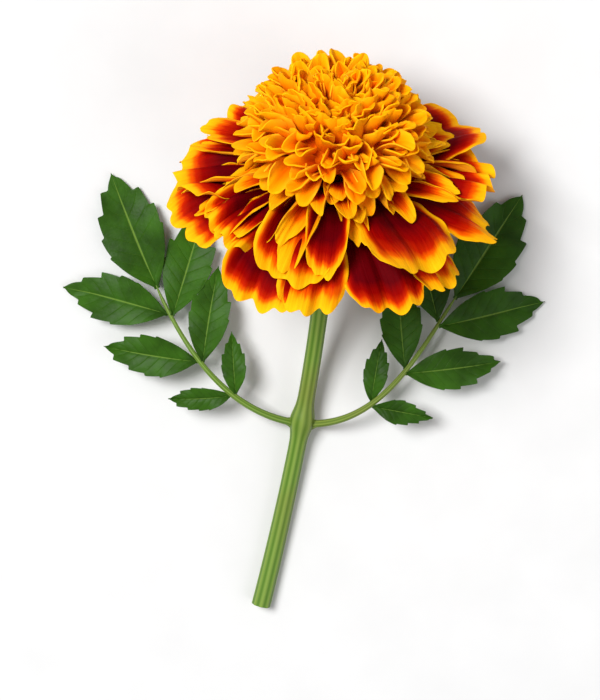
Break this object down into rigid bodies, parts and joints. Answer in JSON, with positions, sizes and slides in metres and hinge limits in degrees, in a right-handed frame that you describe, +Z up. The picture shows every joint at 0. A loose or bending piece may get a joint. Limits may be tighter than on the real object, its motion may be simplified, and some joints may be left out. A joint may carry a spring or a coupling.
{
  "type": "marigold flower",
  "caption": "Picked crested marigold lying on a surface: golden dome of small florets over broad red rays edged in yellow, green cup, ribbed stalk and a pair of toothed leaves.",
  "frame": {"origin": "middle of the whole flower's plan, on the surface that it lies on", "axes": "+Z up from the surface, +Y along the stalk towards the bloom, +X to the right seen from above with the bloom at the top"},
  "size_m": [0.1, 0.1205, 0.0531],
  "materials": {
    "ray": "velvety crimson petal edged with golden yellow",
    "crest": "soft satin golden-orange petal",
    "involucre": "smooth waxy yellow-green, browner at the rim",
    "stalk": "ribbed fresh green stem",
    "leaf": "slightly glossy dark green blade with pale rib"
  },
  "bodies": {
    "root": {"ray_florets": "ray", "crest_florets": "crest", "involucre": "involucre", "peduncle": "stalk", "leaf_left": "leaf", "leaf_right": "leaf"}
  },
  "joints": []
}
